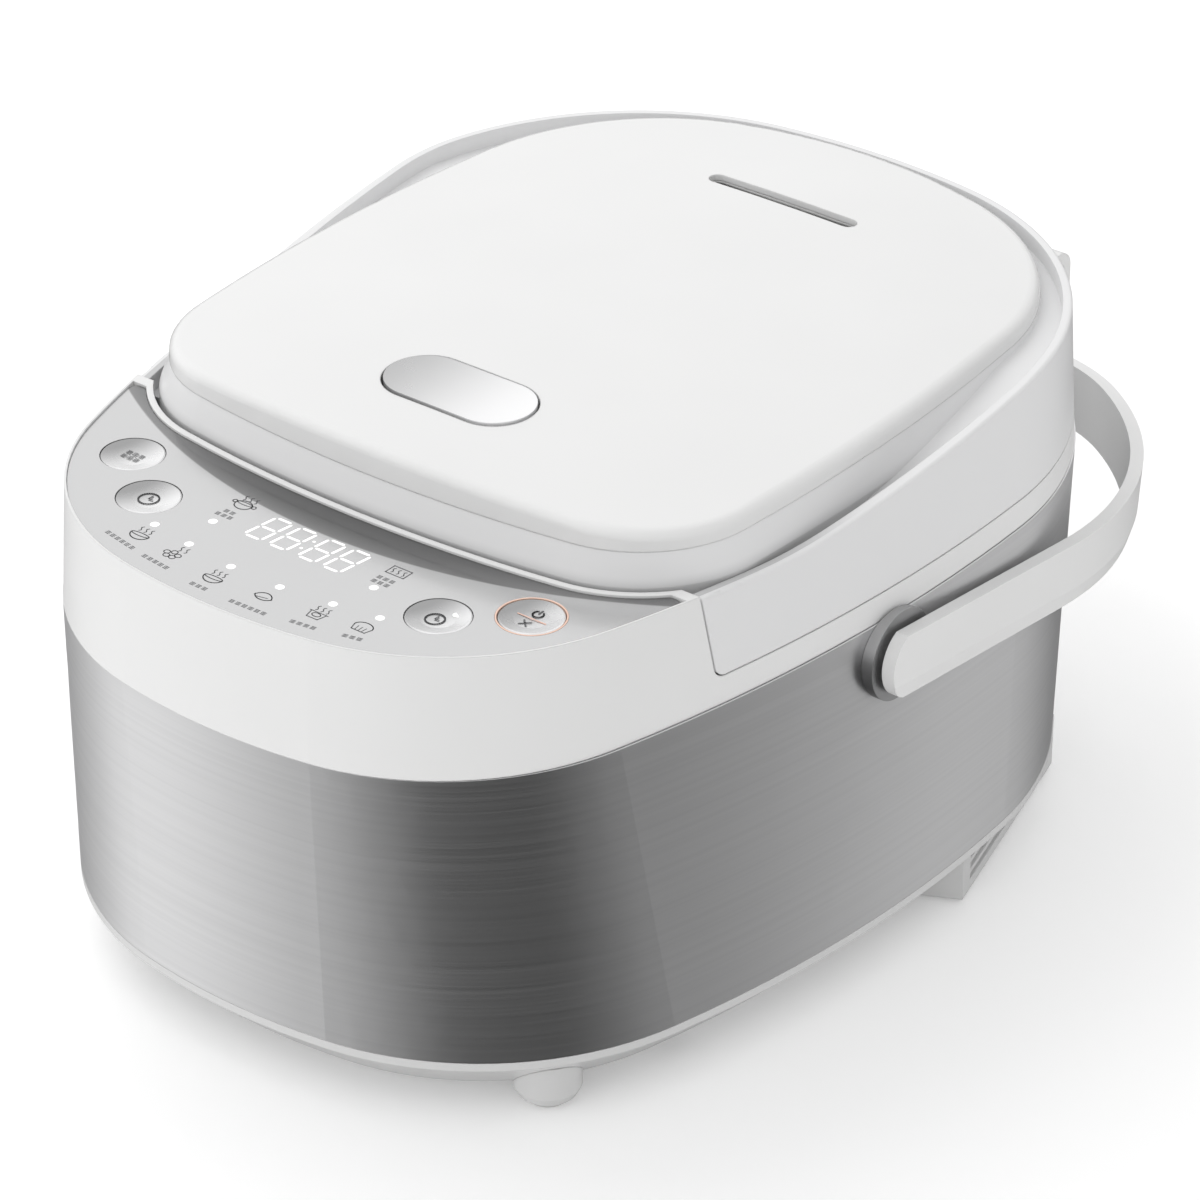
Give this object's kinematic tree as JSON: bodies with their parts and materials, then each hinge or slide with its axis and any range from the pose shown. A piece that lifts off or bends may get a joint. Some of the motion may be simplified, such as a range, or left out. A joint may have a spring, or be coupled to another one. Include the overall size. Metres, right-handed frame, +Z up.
{
  "type": "rice cooker",
  "caption": "Household rice cooker: oval brushed steel body with white base and hinged lid, silver front control panel, and a white carrying handle folded back.",
  "frame": {"origin": "on the table plane under the middle of the overall length and width, handle folded back", "axes": "+Z up, -Y towards the control panel at the front, +Y towards the lid hinge and mains inlet, +X to the right of a person facing the back"},
  "size_m": [0.3044, 0.4322, 0.2098],
  "materials": {
    "white_shell": "satin moulded polypropylene",
    "white_gloss": "smooth semi-gloss white plastic",
    "brushed_band": "brushed along the band",
    "silver_panel": "glossy silver film over clear plastic",
    "silver_key": "satin silver lacquer",
    "salmon_ring": "translucent salmon plastic",
    "clear_lens": "clear diffusing lens",
    "green_board": "glass-fibre board with green mask",
    "dark_part": "black moulded component",
    "transformer_core": "varnished laminations",
    "inner_aluminium": "drawn or cast aluminium",
    "pot_coating": "dark non-stick coating over aluminium",
    "plated_steel": "zinc plated steel",
    "brass_pin": "plated brass blade",
    "soft_rubber": "light grey silicone rubber",
    "wire_cover": "silicone insulation"
  },
  "bodies": {
    "base": {"base_shell": "white_shell", "front_foot_right": "white_shell", "front_foot_left": "white_shell", "rear_foot_right": "white_shell", "rear_foot_left": "white_shell", "foot_pads": "soft_rubber", "steel_band": "brushed_band", "upper_housing": "white_shell", "panel_overlay": "silver_panel", "start_key_ring": "salmon_ring", "control_board": "green_board", "tact_switches": "dark_part", "indicator_lights": "clear_lens", "display_module": "dark_part", "board_screws": "plated_steel", "base_screws": "plated_steel", "inner_casing": "plated_steel", "heating_plate": "inner_aluminium", "heating_element": "plated_steel", "plate_stands": "plated_steel", "sensor_holder": "plated_steel", "sensor_spring": "plated_steel", "thermal_fuse": "wire_cover", "inner_pot": "pot_coating", "power_board": "green_board", "power_board_screws": "plated_steel", "relay": "dark_part", "transformer": "transformer_core", "capacitor": "dark_part", "power_inlet": "dark_part", "inlet_pins": "brass_pin", "mains_lead": "wire_cover", "heater_lead": "wire_cover", "panel_lead": "wire_cover", "hinge_pin": "plated_steel", "pivot_boss_right": "white_shell", "pivot_boss_left": "white_shell", "pivot_nuts": "white_shell"},
    "menu_key": {"key_menu": "silver_key"},
    "time_key": {"key_time": "silver_key"},
    "booking_key": {"key_booking": "silver_key"},
    "start_key": {"key_start": "silver_key"},
    "sensor": {"sensor_cap": "inner_aluminium"},
    "lid": {"lid_shell": "white_shell", "lid_cover": "white_gloss", "button_well": "white_shell", "button_spring": "plated_steel", "latch_pin": "plated_steel", "lid_liner": "white_shell", "lid_screws": "plated_steel", "inner_lid": "inner_aluminium", "lid_seal": "soft_rubber", "lid_thermistor": "inner_aluminium", "steam_duct": "white_shell", "lid_lead": "wire_cover", "hinge_springs": "plated_steel"},
    "open_button": {"lid_button": "silver_key"},
    "latch": {"latch_hook": "white_shell"},
    "carry_handle": {"handle": "white_shell", "pivot_screws": "plated_steel"}
  },
  "joints": [
    {"name": "lid_hinge", "type": "hinge", "parent": "base", "child": "lid", "pos_m": [0, 0.1712, 0.176], "axis": [-1, 0, 0], "range_deg": [0, 85]},
    {"name": "handle_swing", "type": "hinge", "parent": "base", "child": "carry_handle", "pos_m": [0, -0.0238, 0.13], "axis": [1, 0, 0], "range_deg": [0, 96]},
    {"name": "open_button_press", "type": "slide", "parent": "lid", "child": "open_button", "axis": [0, 0, -1], "range_m": [0, 0.003], "stiffness_N_per_m": 500, "springref_m": -0.003, "deforming": ["button_spring"]},
    {"name": "latch_turn", "type": "hinge", "parent": "lid", "child": "latch", "pos_m": [0, -0.1208, 0.1655], "axis": [-1, 0, 0], "range_deg": [0, 4.6]},
    {"name": "menu_key_press", "type": "slide", "parent": "base", "child": "menu_key", "axis": [0, 0, -1], "range_m": [0, 0.0005], "stiffness_N_per_m": 800, "springref_m": -0.0006},
    {"name": "time_key_press", "type": "slide", "parent": "base", "child": "time_key", "axis": [0, 0, -1], "range_m": [0, 0.0005], "stiffness_N_per_m": 800, "springref_m": -0.0006},
    {"name": "booking_key_press", "type": "slide", "parent": "base", "child": "booking_key", "axis": [0, 0, -1], "range_m": [0, 0.0005], "stiffness_N_per_m": 800, "springref_m": -0.0006},
    {"name": "start_key_press", "type": "slide", "parent": "base", "child": "start_key", "axis": [0, 0, -1], "range_m": [0, 0.0005], "stiffness_N_per_m": 800, "springref_m": -0.0006},
    {"name": "sensor_press", "type": "slide", "parent": "base", "child": "sensor", "axis": [0, 0, -1], "range_m": [0, 0.0025], "stiffness_N_per_m": 300, "springref_m": -0.003, "deforming": ["sensor_spring"]}
  ],
  "couplings": [
    {"joint": "latch_turn", "follows": "open_button_press", "rad_per_m": 25.9}
  ]
}
